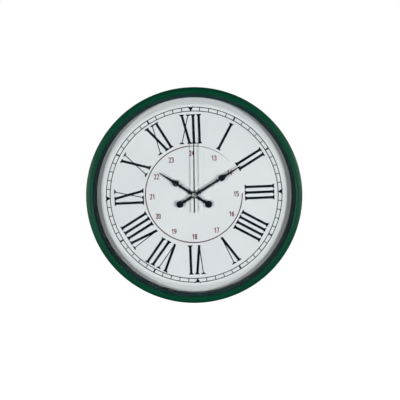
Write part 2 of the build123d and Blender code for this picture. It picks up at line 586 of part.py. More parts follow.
POSTS, POST_RADIUS = [(-24.0, 24.0), (24.0, 14.0), (24.0, -8.8), (-24.0, -8.8)], 1.5
BRIDGE_POSTS, BRIDGE_POST_RADIUS = [(-19.0, -4.5), (-19.0, 12.5)], 1.2
with BuildPart() as movement_case_back:
    with BuildSketch(layer(MOVEMENT_REAR)):
        RectangleRounded(2 * MOVEMENT_HALF, 2 * MOVEMENT_HALF, CORNER)
        with Locations((0, (BAY_TOP - INNER) / 2)):
            Rectangle(2 * INNER, INNER + BAY_TOP, mode=Mode.SUBTRACT)
        with Locations(SETTING):
            Circle(SHAFT + RUN, mode=Mode.SUBTRACT)
    extrude(amount=WALL)
    with BuildSketch(layer(MOVEMENT_REAR + WALL)):
        RectangleRounded(2 * MOVEMENT_HALF, 2 * MOVEMENT_HALF, CORNER)
        Rectangle(2 * INNER, 2 * INNER, mode=Mode.SUBTRACT)
    extrude(amount=MOVEMENT_JOINT - MOVEMENT_REAR - WALL)
    with BuildSketch(layer(MOVEMENT_REAR + WALL)):
        with Locations((0, BAY_TOP + WALL / 2)):
            Rectangle(2 * INNER, WALL)
    extrude(amount=MOVEMENT_FRONT - MOVEMENT_REAR - 2 * WALL - SHORT)
    with BuildSketch(layer(MOVEMENT_REAR + WALL)):
        with Locations(*POSTS):
            Circle(POST_RADIUS)
    extrude(amount=PLATE_BOTTOM - MOVEMENT_REAR - WALL)
    with BuildSketch(layer(MOVEMENT_REAR + WALL)):
        with Locations(*BRIDGE_POSTS):
            Circle(BRIDGE_POST_RADIUS)
    extrude(amount=BRIDGE_BOTTOM - MOVEMENT_REAR - WALL)
    with BuildSketch(layer(PIVOT_REAR - SHORT)):
        with Locations(CENTRE, THIRD, INTERMEDIATE, ROTOR):
            Circle(SECOND_ARBOR + RUN)
    extrude(amount=WALL, mode=Mode.SUBTRACT)

PLATE_ROOM = 0.3
PLATE_SCREW_RADIUS, PLATE_SCREW_HEAD = 0.8, 1.6
with BuildPart() as train_plate:
    with BuildSketch(layer(PLATE_BOTTOM)):
        with Locations((0, (INNER + BAY_TOP + WALL) / 2)):
            Rectangle(2 * (INNER - PLATE_ROOM), INNER - BAY_TOP - WALL - 2 * PLATE_ROOM)
        Circle(PIPE_OUTER + RUN, mode=Mode.SUBTRACT)
        with Locations(THIRD, MINUTE):
            Circle(ARBOR + RUN, mode=Mode.SUBTRACT)
        with Locations(SETTING):
            Circle(SHAFT + RUN, mode=Mode.SUBTRACT)
        with Locations(*POSTS):
            Circle(PLATE_SCREW_RADIUS + SCREW_ROOM, mode=Mode.SUBTRACT)
    extrude(amount=PLATE_TOP - PLATE_BOTTOM)

with BuildPart() as rotor_bridge:
    with BuildSketch(layer(BRIDGE_BOTTOM)):
        with BuildLine():
            Polyline((-21, -6.5), (-6, -2.5), (-6, 4), (-10, 14.5), (-21, 14.5), close=True)
        make_face()
        with Locations(INTERMEDIATE, ROTOR):
            Circle(ARBOR + RUN, mode=Mode.SUBTRACT)
    extrude(amount=BRIDGE_TOP - BRIDGE_BOTTOM)

with BuildPart() as plate_screws:
    with BuildSketch(layer(PLATE_BOTTOM)):
        with Locations(*POSTS):
            Circle(PLATE_SCREW_RADIUS)
    extrude(amount=PLATE_TOP - PLATE_BOTTOM)
    with BuildSketch(layer(PLATE_TOP)):
        with Locations(*POSTS):
            Circle(PLATE_SCREW_HEAD)
    extrude(amount=PLATE_SCREW_HEAD / 2)

# Bush: runs from the front of the movement through the dial, where its nut holds the movement.
BUSH_TOP, WASHER_RADIUS = 34.2, 9.0
centre_bush = prism(MOVEMENT_FRONT - WALL, BUSH_TOP, BUSH_RADIUS, BUSH_BORE)
dial_washer = prism(MOVEMENT_FRONT, DIAL_BACK, WASHER_RADIUS, BUSH_RADIUS + SHORT)
DIAL_NUT_RADIUS, DIAL_NUT_HEIGHT, DIAL_NUT_SLOT = 4.7, 2.2, (1.6, 1.4)
with BuildPart() as mounting_nut:
    with BuildSketch(layer(DIAL_FACE)):
        Circle(DIAL_NUT_RADIUS)
        Circle(BUSH_RADIUS + CLOSE, mode=Mode.SUBTRACT)
        with PolarLocations(DIAL_NUT_RADIUS, 4):
            Rectangle(*DIAL_NUT_SLOT, mode=Mode.SUBTRACT)
    extrude(amount=DIAL_NUT_HEIGHT)

LEG_LEFT, LEG_RIGHT, LEG_WIDTH = -21.0, -4.0, 4.0
STATOR_LOW, STATOR_SHEET = 15.4, 0.8
COIL_LEVEL, CORE_WIDTH = 20.5, 3.6
YOKE_LEVEL, YOKE_WIDTH, LEG_MIDDLE, LEG_LENGTH = 6.0, 8.0, 14.0, 17.0
with BuildPart() as stator:
    with BuildSketch(layer(STATOR_LOW)):
        with Locations(((LEG_LEFT + LEG_RIGHT) / 2, YOKE_LEVEL)):
            Rectangle(LEG_RIGHT - LEG_LEFT + LEG_WIDTH, YOKE_WIDTH)
        with Locations((LEG_LEFT, LEG_MIDDLE), (LEG_RIGHT, LEG_MIDDLE)):
            Rectangle(LEG_WIDTH, LEG_LENGTH)
        with Locations(ROTOR):
            Circle(ROTOR_RADIUS + 0.4, mode=Mode.SUBTRACT)
        with Locations(*BRIDGE_POSTS):
            Circle(BRIDGE_POST_RADIUS + SHORT, mode=Mode.SUBTRACT)
    extrude(amount=STATOR_SHEET)

CORE_LOW = STATOR_LOW + STATOR_SHEET
with BuildPart() as coil_core:
    with BuildSketch(layer(CORE_LOW)):
        with Locations(((LEG_LEFT + LEG_RIGHT) / 2, COIL_LEVEL)):
            Rectangle(LEG_RIGHT - LEG_LEFT + LEG_WIDTH, CORE_WIDTH)
    extrude(amount=STATOR_SHEET)


def facing_right(across, height, up):
    """Plane at a place, whose normal runs along the wall to the right."""
    return Plane((across, -height, up), x_dir=(0, 0, 1), z_dir=(1, 0, 0))


COIL_ROOM = 0.3
COIL_PLANE = facing_right(LEG_LEFT + LEG_WIDTH / 2 + COIL_ROOM, CORE_LOW + STATOR_SHEET / 2, COIL_LEVEL)
COIL_LENGTH = LEG_RIGHT - LEG_LEFT - LEG_WIDTH - 2 * COIL_ROOM
BOBBIN_WIDTH, BOBBIN_DEPTH, CHEEK = 4.4, 1.6, 0.6
CHEEK_SIZE, WINDING_SIZE = (8.4, 4.2, 0.8), (7.4, 3.8, 1.2)    # width, depth, corner
with BuildPart() as coil_bobbin:
    with BuildSketch(COIL_PLANE):
        Rectangle(BOBBIN_WIDTH, BOBBIN_DEPTH)
    extrude(amount=COIL_LENGTH)
    for start in (0, COIL_LENGTH - CHEEK):
        with BuildSketch(COIL_PLANE.offset(start)):
            RectangleRounded(*CHEEK_SIZE)
        extrude(amount=CHEEK)
    with BuildSketch(COIL_PLANE):
        Rectangle(CORE_WIDTH + 2 * CLOSE, STATOR_SHEET + 2 * CLOSE)
    extrude(amount=COIL_LENGTH, mode=Mode.SUBTRACT)
with BuildPart() as coil_winding:
    with BuildSketch(COIL_PLANE.offset(CHEEK)):
        RectangleRounded(*WINDING_SIZE)
        Rectangle(BOBBIN_WIDTH, BOBBIN_DEPTH, mode=Mode.SUBTRACT)
    extrude(amount=COIL_LENGTH - 2 * CHEEK)

BOARD_LOW, BOARD_SHEET, BOARD_MIDDLE, BOARD_SIZE = 14.6, 0.6, (12.5, 21.5), (25.0, 9.0)
CHIP_RADIUS, CHIP_HEIGHT = 2.6, 0.8
CRYSTAL_RADIUS, CRYSTAL_LENGTH = 1.1, 6.0
BOARD_TOP = BOARD_LOW + BOARD_SHEET
with BuildPart() as circuit_board:
    with BuildSketch(layer(BOARD_LOW)):
        with Locations(BOARD_MIDDLE):
            Rectangle(*BOARD_SIZE)
    extrude(amount=BOARD_SHEET)
circuit_chip = prism(BOARD_TOP, BOARD_TOP + CHIP_HEIGHT, CHIP_RADIUS, centre=(6.0, BOARD_MIDDLE[1]))
with BuildPart() as quartz_crystal:
    with BuildSketch(facing_right(12, BOARD_TOP + CRYSTAL_RADIUS, 23)):
        Circle(CRYSTAL_RADIUS)
    extrude(amount=CRYSTAL_LENGTH)

TERMINAL_RADIUS, TERMINAL_LENGTH, CELL_EDGE = 2.7, 1.0, 0.6
with BuildPart() as battery:
    with BuildSketch(facing_right(-BATTERY_LENGTH / 2, BATTERY_HEIGHT, BATTERY_LEVEL)):
        Circle(BATTERY_RADIUS)
    extrude(amount=BATTERY_LENGTH)
    fillet(battery.edges().filter_by(GeomType.CIRCLE), CELL_EDGE)
    with BuildSketch(facing_right(BATTERY_LENGTH / 2, BATTERY_HEIGHT, BATTERY_LEVEL)):
        Circle(TERMINAL_RADIUS)
    extrude(amount=TERMINAL_LENGTH)


STRIP, STRIP_LOW, STRIP_WIDTH, STRIP_TOUCH = 0.4, 15.0, 11.0, 6.0


def contact(side, reach):
    """Bent strip at one end of the battery bay, up to a battery end that reaches into it."""
    gap = INNER - BATTERY_LENGTH / 2 - reach
    with BuildPart() as made:
        with BuildSketch(layer(STRIP_LOW)):
            with Locations((side * (INNER - STRIP / 2), BATTERY_LEVEL)):
                Rectangle(STRIP, STRIP_WIDTH)
            with Locations((side * (INNER - gap / 2), BATTERY_LEVEL)):
                Rectangle(gap, STRIP)
            with Locations((side * (INNER - gap + STRIP / 2), BATTERY_LEVEL)):
                Rectangle(STRIP, STRIP_TOUCH)
        extrude(amount=STRIP_WIDTH)
    return made


contact_positive = contact(1, TERMINAL_LENGTH)
contact_negative = contact(-1, 0)


# ======== hands ========

ARM_FOOT_HALF, ARM_HALF, NEEDLE_HALF, TIP_HALF = 2.1, 1.5, 1.45, 0.6
COLLAR_LENGTH_HALF = 1.8


def spade_hand(height, angle, blade, collars, disc_at, disc_radius, boss, bore):
    """Spade hand cut from sheet: arm, rounded bulb with an ogee shoulder, needle, and a counterweight
    disc on the tail. collars are (place, half width) swellings along it."""
    arm_end, bulb_rear, bulb_widest, bulb_half, bulb_front, tip = blade
    with BuildPart() as made:
        with BuildSketch(layer(height, angle)):
            with BuildLine():
                Polyline((0, 0), (ARM_FOOT_HALF, 0), (ARM_HALF, arm_end), (ARM_HALF, bulb_rear))
                Spline((ARM_HALF, bulb_rear), (bulb_half, bulb_widest), (NEEDLE_HALF, bulb_front),
                       tangents=[(1, 0.15), (-0.08, 1)])
                Polyline((NEEDLE_HALF, bulb_front), (TIP_HALF, tip), (0, tip), (0, 0))
            make_face()
            mirror(about=Plane.YZ)
            for place, half in collars:
                with Locations((0, place)):
                    Ellipse(half, COLLAR_LENGTH_HALF)
            with Locations((0, disc_at)):
                Circle(disc_radius)
            Polygon((-ARM_FOOT_HALF, 0), (ARM_FOOT_HALF, 0), (NEEDLE_HALF, disc_at),
                    (-NEEDLE_HALF, disc_at))
            Circle(boss)
            Circle(bore, mode=Mode.SUBTRACT)
        extrude(amount=HAND_SHEET)
    return made


hour_hand = spade_hand(HOUR_LAYER, HOUR_ANGLE, (23.6, 26.8, 31.3, 4.6, 39.0, 58.0),
                       [(8.0, 2.8), (23.4, 2.7), (-16.8, 2.5)], -23.9, 5.1, 4.9, HOUR_PIPE_OUTER + CLOSE)
minute_hand = spade_hand(MINUTE_LAYER, MINUTE_ANGLE, (39.2, 41.6, 46.4, 4.5, 55.0, 77.5),
                         [(8.8, 2.8), (38.4, 2.7), (-16.6, 2.5)], -23.9, 5.0, 4.6, PIPE_OUTER + CLOSE)

# Ring nut on the minute pipe, with a recess round the second hand's collet.
NUT_BOTTOM, NUT_TOP = MINUTE_LAYER + HAND_SHEET, 39.8
NUT_RADIUS, NUT_RECESS, NUT_CHAMFER = 3.8, 2.3, 0.3
NUT_SHELF = PIPE_TOP - 0.2
hand_nut = turned([
    (PIPE_OUTER + CLOSE, NUT_BOTTOM), (NUT_RADIUS, NUT_BOTTOM), (NUT_RADIUS, NUT_TOP - NUT_CHAMFER),
    (NUT_RADIUS - NUT_CHAMFER, NUT_TOP), (NUT_RECESS, NUT_TOP), (NUT_RECESS, NUT_SHELF),
    (PIPE_OUTER + CLOSE, NUT_SHELF)])

SECOND_TIP, SECOND_TAIL = 79.0, -24.5
SECOND_TAIL_HALF, SECOND_TIP_HALF = 0.95, 0.75
COLLET_RADIUS, COLLET_LOW = 1.7, PIPE_TOP + 0.4
with BuildPart() as second_hand:
    with BuildSketch(layer(SECOND_LAYER, SECOND_ANGLE)):
        Polygon((-SECOND_TAIL_HALF, SECOND_TAIL), (SECOND_TAIL_HALF, SECOND_TAIL),
                (SECOND_TIP_HALF, SECOND_TIP), (-SECOND_TIP_HALF, SECOND_TIP))
        Circle(COLLET_RADIUS)
    extrude(amount=SECOND_SHEET)
    with BuildSketch(layer(COLLET_LOW, SECOND_ANGLE)):
        Circle(COLLET_RADIUS)
    extrude(amount=SECOND_LAYER - PIPE_TOP)
    with BuildSketch(layer(COLLET_LOW, SECOND_ANGLE)):
        Circle(SECOND_ARBOR + CLOSE)
    extrude(amount=SECOND_LAYER + SECOND_SHEET - COLLET_LOW, mode=Mode.SUBTRACT)

# Turned cap pressed on the second hand: a raised rim and a raised middle, just behind the glass.
CAP_LOW, CAP_FLOOR, CAP_HIGH = SECOND_LAYER + SECOND_SHEET, 41.2, 41.6
CAP_MIDDLE, CAP_GROOVE, CAP_RADIUS = 1.1, 2.0, 3.6
second_hand_cap = turned([
    (0, CAP_LOW), (CAP_RADIUS, CAP_LOW), (CAP_RADIUS, CAP_HIGH), (CAP_GROOVE, CAP_HIGH),
    (CAP_GROOVE, CAP_FLOOR), (CAP_MIDDLE, CAP_FLOOR), (CAP_MIDDLE, CAP_HIGH), (0, CAP_HIGH)])


# ======== export ========

pieces = dict(
    bezel=bezel, case_drum=case_drum, bezel_seat=bezel_seat, dial_seat=dial_seat, back_seat=back_seat,
    bezel_screws=bezel_screws, glass=glass, glass_gasket=glass_gasket, spacer_ring=spacer_ring,
    back_plate=back_plate, back_plate_screws=back_plate_screws, wall_pads=wall_pads,
    dial_plate=dial_plate, dial_surround=dial_surround, dial_numerals=dial_numerals,
    dial_minute_track=dial_minute_track, dial_24_hour_print=dial_24_hour_print,
    dial_washer=dial_washer, mounting_nut=mounting_nut,
    centre_bush=centre_bush, movement_case_front=movement_case_front,
    movement_case_back=movement_case_back, train_plate=train_plate, plate_screws=plate_screws,
    rotor_bridge=rotor_bridge, stator=stator, coil_core=coil_core, coil_bobbin=coil_bobbin,
    coil_winding=coil_winding, circuit_board=circuit_board, circuit_chip=circuit_chip,
    quartz_crystal=quartz_crystal, battery=battery, contact_positive=contact_positive,
    contact_negative=contact_negative, rotor_magnet=rotor_magnet, rotor_pinion=rotor_pinion,
    intermediate_wheel=intermediate_wheel, second_arbor=second_arbor, second_wheel=second_wheel,
    third_wheel=third_wheel, centre_wheel=centre_wheel, minute_arbor=minute_arbor,
    minute_wheel=minute_wheel, hour_wheel=hour_wheel, setting_shaft=setting_shaft,
    setting_knob=setting_knob, hour_hand=hour_hand, minute_hand=minute_hand, hand_nut=hand_nut,
    second_hand=second_hand, second_hand_cap=second_hand_cap)

os.makedirs("parts", exist_ok=True)
for name, piece in pieces.items():
    piece.part.label = name
    export_step(piece.part, f"parts/{name}.step")
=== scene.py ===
import json
from math import cos, pi, radians, sin, tan

import bmesh
import bpy
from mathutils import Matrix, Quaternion, Vector


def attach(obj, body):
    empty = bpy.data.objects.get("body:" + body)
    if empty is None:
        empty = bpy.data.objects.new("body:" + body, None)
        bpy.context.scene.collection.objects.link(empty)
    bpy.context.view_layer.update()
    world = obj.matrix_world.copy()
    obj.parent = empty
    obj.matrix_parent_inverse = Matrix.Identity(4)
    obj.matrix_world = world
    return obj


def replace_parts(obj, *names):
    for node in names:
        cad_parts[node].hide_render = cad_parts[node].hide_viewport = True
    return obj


# Round wall clock with a green pressed bezel. The CAD frame is in metres, +Z up, the wall is the
# plane Y = 0 and the dial faces -Y. Profiles below are in millimetres of (radius from the hand
# axis, height in front of the wall).

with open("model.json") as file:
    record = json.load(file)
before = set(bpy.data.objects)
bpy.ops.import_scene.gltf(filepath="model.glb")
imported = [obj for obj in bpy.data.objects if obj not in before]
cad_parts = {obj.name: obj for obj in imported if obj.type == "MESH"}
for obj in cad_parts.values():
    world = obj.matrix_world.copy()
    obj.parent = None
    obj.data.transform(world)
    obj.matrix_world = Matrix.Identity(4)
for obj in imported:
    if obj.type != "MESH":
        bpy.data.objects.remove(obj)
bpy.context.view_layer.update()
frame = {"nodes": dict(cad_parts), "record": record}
nodes = frame["nodes"]
MM = 0.001

# Dimensions that follow part.py.
CASE_RADIUS, OPENING_RADIUS, CREST_RADIUS = 152.5, 143.1, 147.2
CREST, SHOULDER, LIP_TOP, LIP_BOTTOM = 48.2, 42.6, 45.6, 44.6
RETURN_BOTTOM, RETURN_RADIUS, SHEET = 29.8, 147.3, 1.2
DRUM_RADIUS, DRUM_INSIDE, LAID_IN = 147.0, 145.8, 145.3
DIAL_FACE, GLASS_BACK, GLASS_FRONT = 31.0, 42.0, 44.0
DIAL_BACK, DIAL_HOLE = 30.0, 3.5
DIAL_FLAT, DIAL_BEND, DIAL_SLOPE, DIAL_EDGE = 126.5, 6.0, radians(33), 138.4
RING_WALL, INK = 1.4, 0.1
RED_RING, RED_LINE, RED_RING_CENTRE = 68.5, 1.4, (-0.4, 0.9)


# ======== shader building ========

class Nodes:
    """An emptied node tree, with short names for the nodes that go into it."""

    def __init__(self, owner):
        owner.use_nodes = True
        self.tree = owner.node_tree
        self.tree.nodes.clear()

    def add(self, kind, **settings):
        """New node with its settings."""
        node = self.tree.nodes.new(kind)
        for key, value in settings.items():
            setattr(node, key, value)
        return node

    def join(self, value, socket):
        """Links an output, or sets a plain value."""
        if isinstance(value, bpy.types.NodeSocket):
            self.tree.links.new(value, socket)
        else:
            socket.default_value = value

    def axis_of(self, vector, axis):
        """X, Y or Z of a vector."""
        split = self.add("ShaderNodeSeparateXYZ")
        self.join(vector, split.inputs[0])
        return split.outputs[axis]

    def math(self, operation, first, second=0.0):
        """Result of a Math node."""
        node = self.add("ShaderNodeMath", operation=operation)
        self.join(first, node.inputs[0])
        self.join(second, node.inputs[1])
        return node.outputs[0]

    def dot(self, first, second):
        """Dot product of two vectors."""
        node = self.add("ShaderNodeVectorMath", operation="DOT_PRODUCT")
        self.join(first, node.inputs[0])
        self.join(second, node.inputs[1])
        return node.outputs["Value"]

    def spread(self, value, low, high, to_low=0.0, to_high=1.0):
        """Value from low..high mapped to another range, and clamped."""
        node = self.add("ShaderNodeMapRange")
        self.join(value, node.inputs["Value"])
        ends = {"From Min": low, "From Max": high, "To Min": to_low, "To Max": to_high}
        for name, number in ends.items():
            node.inputs[name].default_value = number
        return node.outputs["Result"]

    def mix_shaders(self, share, first, second):
        """Second shader over the first by a share."""
        node = self.add("ShaderNodeMixShader")
        for value, socket in zip((share, first, second), node.inputs):
            self.join(value, socket)
        return node.outputs[0]


class Paint(Nodes):
    """One procedural material. Its noise and bump sizes are in millimetres."""

    def __init__(self, name):
        self.material = bpy.data.materials.new(name)
        super().__init__(self.material)
        self.place = self.add("ShaderNodeTexCoord").outputs["Object"]

    def stretched(self, x, y, z):
        """Object place with its axes scaled, for grain that runs one way."""
        node = self.add("ShaderNodeVectorMath", operation="MULTIPLY")
        self.join(self.place, node.inputs[0])
        node.inputs[1].default_value = (x, y, z)
        return node.outputs[0]

    def along(self, axis):
        """Object place along X, Y or Z, in metres."""
        return self.axis_of(self.place, axis)

    def clock_angle(self):
        """Angle about the hand axis, in radians, zero at twelve and growing clockwise."""
        return self.math("ARCTAN2", self.along("X"), self.along("Z"))

    def radius(self):
        """Distance from the hand axis, in metres."""
        across, up = self.along("X"), self.along("Z")
        return self.math("SQRT", self.math("ADD", self.math("MULTIPLY", across, across),
                                           self.math("MULTIPLY", up, up)))

    def around(self, turns):
        """Coordinates that run round the hand axis: (angle times turns, Y, radius)."""
        merged = self.add("ShaderNodeCombineXYZ")
        self.join(self.math("MULTIPLY", self.clock_angle(), turns), merged.inputs[0])
        self.join(self.along("Y"), merged.inputs[1])
        self.join(self.radius(), merged.inputs[2])
        return merged.outputs[0]

    def noise(self, size, detail=3.0, roughness=0.5, vector=None):
        """Noise with features of a size."""
        node = self.add("ShaderNodeTexNoise")
        self.join(vector or self.place, node.inputs["Vector"])
        node.inputs["Scale"].default_value = 1 / (size * MM)
        node.inputs["Detail"].default_value = detail
        node.inputs["Roughness"].default_value = roughness
        return node.outputs["Fac"]

    def cells(self, size, output="Distance"):
        """Voronoi cells of a size."""
        node = self.add("ShaderNodeTexVoronoi")
        self.join(self.place, node.inputs["Vector"])
        node.inputs["Scale"].default_value = 1 / (size * MM)
        return node.outputs[output]

    def mix(self, share, first, second):
        """Second colour over the first by a share."""
        node = self.add("ShaderNodeMix", data_type="RGBA")
        self.join(share, node.inputs["Factor"])
        for value, name in ((first, "A"), (second, "B")):
            socket = next(s for s in node.inputs if s.name == name and s.type == "RGBA")
            self.join((*value, 1) if isinstance(value, tuple) else value, socket)
        return next(s for s in node.outputs if s.type == "RGBA")

    def edges(self, reach=0.5):
        """Near 1 on convex edges within a reach, near 0 on flats."""
        round_edge = self.add("ShaderNodeBevel", samples=4)
        round_edge.inputs["Radius"].default_value = reach * MM
        plain = self.add("ShaderNodeNewGeometry")
        return self.spread(self.dot(round_edge.outputs["Normal"], plain.outputs["Normal"]), 0.995, 0.9)

    def bump(self, height, depth, normal=None):
        """Bump of a depth."""
        node = self.add("ShaderNodeBump")
        node.inputs["Strength"].default_value = 1.0
        node.inputs["Distance"].default_value = depth * MM
        self.join(height, node.inputs["Height"])
        if normal:
            self.join(normal, node.inputs["Normal"])
        return node.outputs["Normal"]

    def surface(self, colour, roughness, normal=None, **constants):
        """Principled shader as the surface. Constants are its other sockets by name."""
        shader = self.add("ShaderNodeBsdfPrincipled")
        self.join((*colour, 1) if isinstance(colour, tuple) else colour, shader.inputs["Base Color"])
        self.join(roughness, shader.inputs["Roughness"])
        if normal:
            self.join(normal, shader.inputs["Normal"])
        for key, value in constants.items():
            self.join(value, shader.inputs[key.replace("_", " ")])
        self.output(shader.outputs[0])
        return shader

    def output(self, shader):
        """Ends the material in a shader."""
        self.join(shader, self.add("ShaderNodeOutputMaterial").inputs["Surface"])


paints = {}


def finish_of(slot):
    """Decorator: the function fills in the paint of a material slot."""
    def fill(build):
        paint = Paint(slot)
        build(paint)
        paints[slot] = paint.material
        return build
    return fill


# ======== materials, one for each slot of the record ========

GREEN_DEEP, GREEN, GREEN_WORN = (0.0002, 0.046, 0.020), (0.0004, 0.056, 0.026), (0.008, 0.09, 0.055)


@finish_of("case_paint")
def _(p):
    """Semi-gloss enamel on pressed steel: orange peel, thicker and thinner coats, rubbed edges, dust."""
    coat = p.noise(38, 4, 0.6)
    fine = p.noise(1.6, 5, 0.65)
    peel = p.noise(0.9, 2, 0.5)
    edge_wear_and_shade_free_top = p.math("MULTIPLY", p.edges(0.5), p.spread(p.noise(7, 5, 0.7), 0.5, 0.7))
    base = p.mix(p.spread(coat, 0.35, 0.65), GREEN_DEEP, GREEN)
    base = p.mix(p.spread(fine, 0.4, 0.75, 0.0, 0.35), base, GREEN_WORN)
    base = p.mix(p.math("MULTIPLY", edge_wear_and_shade_free_top, 0.5), base, (0.10, 0.20, 0.15))
    rough = p.math("ADD", p.spread(coat, 0.3, 0.7, 0.30, 0.42), p.spread(fine, 0.3, 0.8, 0.0, 0.10))
    normal = p.bump(peel, 0.035, p.bump(p.noise(9, 2), 0.12))
    p.surface(base, rough, normal, Specular_IOR_Level=0.22)


@finish_of("ring_slate")
def _(p):
    """Moulded spacer ring: satin slate grey, fine turning marks, a little dust, and painted shade: the
    inner wall and its front edge near black, except at the top, where the painted shade is left out."""
    marks = p.noise(0.25, 2, 0.5, p.around(0.02))
    cloud = p.noise(18, 4)
    base = p.mix(p.spread(cloud, 0.35, 0.65), (0.010, 0.031, 0.033), (0.017, 0.044, 0.045))
    base = p.mix(p.spread(p.noise(0.7, 3), 0.62, 0.8, 0.0, 0.5), base, (0.06, 0.08, 0.08))
    # Painted shade: the inner wall and its front edge go near black, left out towards the top.
    edge_wear_and_shade_free_top = p.spread(p.along("Z"), 0.095, 0.130, 0.0, 0.9 * MM)
    painted_wall_shade = p.spread(p.math("ADD", p.radius(), edge_wear_and_shade_free_top), (DIAL_EDGE + 0.8) * MM, (DIAL_EDGE + 1.1) * MM,
                    1.0, 0.0)
    base = p.mix(painted_wall_shade, base, (0.002, 0.003, 0.005))
    p.surface(base, p.spread(cloud, 0.3, 0.7, 0.42, 0.6), p.bump(marks, 0.02), Specular_IOR_Level=0.2)


@finish_of("dial_white")
def _(p):
    """Matt stove enamel on sheet: cool white, faint cloudiness, fine tooth, and painted shade: a dark
    band at its edge, in the corner under the ring, which is left out towards the bottom."""
    cloud = p.noise(70, 3, 0.5)
    fine = p.noise(1.1, 4, 0.6)
    base = p.mix(p.spread(cloud, 0.35, 0.65), (0.74, 0.775, 0.800), (0.785, 0.815, 0.835))
    base = p.mix(p.spread(fine, 0.55, 0.8, 0.0, 0.3), base, (0.69, 0.72, 0.745))
    # Painted shade: the dial goes near black in the corner at its edge under the ring, except towards
    # the bottom.
    shade_left_out_at_bottom = p.spread(p.along("Z"), -0.115, -0.085, 1.2 * MM, 0.0)
    painted_corner_shade = p.spread(p.math("SUBTRACT", p.radius(), shade_left_out_at_bottom), (DIAL_EDGE - 0.9) * MM,
                     (DIAL_EDGE - 0.5) * MM)
    base = p.mix(painted_corner_shade, base, (0.012, 0.014, 0.018))
    p.surface(base, p.spread(fine, 0.3, 0.7, 0.5, 0.65), p.bump(p.noise(0.5, 3), 0.01),
              Specular_IOR_Level=0.3)


def printed(p, thin, thick, haze):
    """Screen-printed ink: slightly uneven cover with pinholes of the ground showing through."""
    cover = p.noise(3.5, 4, 0.6)
    pin = p.spread(p.noise(0.35, 2), 0.68, 0.78)
    base = p.mix(p.spread(cover, 0.35, 0.65), thin, thick)
    base = p.mix(p.math("MULTIPLY", pin, 0.35), base, haze)
    p.surface(base, p.spread(cover, 0.3, 0.7, 0.42, 0.58), p.bump(p.noise(0.4, 2), 0.006),
              Specular_IOR_Level=0.1)


@finish_of("ink_black")
def _(p):
    printed(p, (0.002, 0.004, 0.009), (0.001, 0.002, 0.006), (0.05, 0.06, 0.08))


@finish_of("ink_red")
def _(p):
    """Red print, darker in the ring, greyed by a painted glare reflection from twelve to where it ends.
    """
    angle, radius = p.clock_angle(), p.radius()
    # Painted reflection: glare greys the ring, unevenly, from twelve round to where it ends.
    painted_glare = p.math("MULTIPLY", p.spread(angle, -0.15, 0.1), p.spread(angle, 1.3, 1.1))
    painted_glare = p.math("MULTIPLY", painted_glare, p.spread(radius, (RED_RING - 3) * MM, (RED_RING - 2) * MM))
    cover = p.noise(2.2, 4, 0.65)
    base = p.mix(p.spread(cover, 0.35, 0.65), (0.18, 0.014, 0.028), (0.12, 0.008, 0.018))
    dense = p.spread(radius, (RED_RING - 4) * MM, (RED_RING - 3) * MM, 0.0, 0.75)
    base = p.mix(dense, base, (0.030, 0.004, 0.011))
    thin = p.math("MULTIPLY", painted_glare, p.spread(p.noise(1.3, 4, 0.7), 0.3, 0.62, 0.55, 0.9))
    base = p.mix(thin, base, (0.36, 0.34, 0.37))
    p.surface(base, 0.5, p.bump(cover, 0.006), Specular_IOR_Level=0.1)


@finish_of("hand_black")
def _(p):
    """Satin black lacquer on stamped sheet: fine grain and paler rubbed edges."""
    fine = p.noise(0.8, 4, 0.6)
    base = p.mix(p.spread(fine, 0.35, 0.7), (0.0012, 0.003, 0.008), (0.0035, 0.006, 0.012))
    base = p.mix(p.math("MULTIPLY", p.edges(0.12), p.spread(p.noise(2), 0.45, 0.6, 0.0, 0.4)), base,
                 (0.03, 0.035, 0.04))
    p.surface(base, p.spread(p.noise(4), 0.3, 0.7, 0.34, 0.5), p.bump(fine, 0.01),
              Specular_IOR_Level=0.14)


@finish_of("second_grey")
def _(p):
    """Dark grey lacquer on stamped sheet, with a fine grain."""
    fine = p.noise(0.6, 3, 0.6)
    base = p.mix(p.spread(fine, 0.35, 0.7), (0.006, 0.009, 0.012), (0.012, 0.016, 0.020))
    p.surface(base, p.spread(p.noise(3), 0.3, 0.7, 0.35, 0.5), p.bump(fine, 0.006),
              Specular_IOR_Level=0.15)


def metal(p, light, dark, low, high, grain=(1, 1, 1), tarnish=None):
    """Metal with brushed or turned grain, clouded by handling."""
    lines = p.noise(0.35, 3, 0.6, p.stretched(*grain))
    cloud = p.noise(5, 4, 0.6)
    base = p.mix(p.spread(cloud, 0.35, 0.65), light, dark)
    if tarnish:
        base = p.mix(p.spread(p.noise(2.4, 5, 0.7), 0.56, 0.72, 0.0, 0.7), base, tarnish)
    rough = p.math("ADD", p.spread(cloud, 0.3, 0.7, low, high), p.spread(lines, 0.3, 0.7, 0.0, 0.12))
    p.surface(base, rough, p.bump(lines, 0.008), Metallic=1.0)


@finish_of("nickel")
def _(p):
    metal(p, (0.33, 0.36, 0.33), (0.24, 0.26, 0.24), 0.36, 0.48, tarnish=(0.15, 0.16, 0.14))


@finish_of("zinc_steel")
def _(p):
    """Zinc plate: spangle, dull grey bloom."""
    spangle = p.cells(1.4, output="Color")
    base = p.mix(0.18, (0.55, 0.56, 0.57), spangle)
    base = p.mix(p.spread(p.noise(2.5, 5, 0.7), 0.5, 0.7, 0.0, 0.7), base, (0.38, 0.39, 0.40))
    p.surface(base, p.spread(p.noise(1.2), 0.3, 0.7, 0.3, 0.5), p.bump(p.noise(0.5), 0.01), Metallic=1.0)


@finish_of("steel")
def _(p):
    metal(p, (0.62, 0.62, 0.63), (0.48, 0.48, 0.50), 0.18, 0.30, (1, 12, 1))


@finish_of("iron")
def _(p):
    metal(p, (0.40, 0.40, 0.41), (0.28, 0.28, 0.29), 0.35, 0.5, (8, 1, 1), (0.22, 0.17, 0.13))


@finish_of("brass")
def _(p):
    metal(p, (0.75, 0.55, 0.24), (0.60, 0.42, 0.17), 0.22, 0.36, (1, 6, 1), (0.32, 0.21, 0.09))


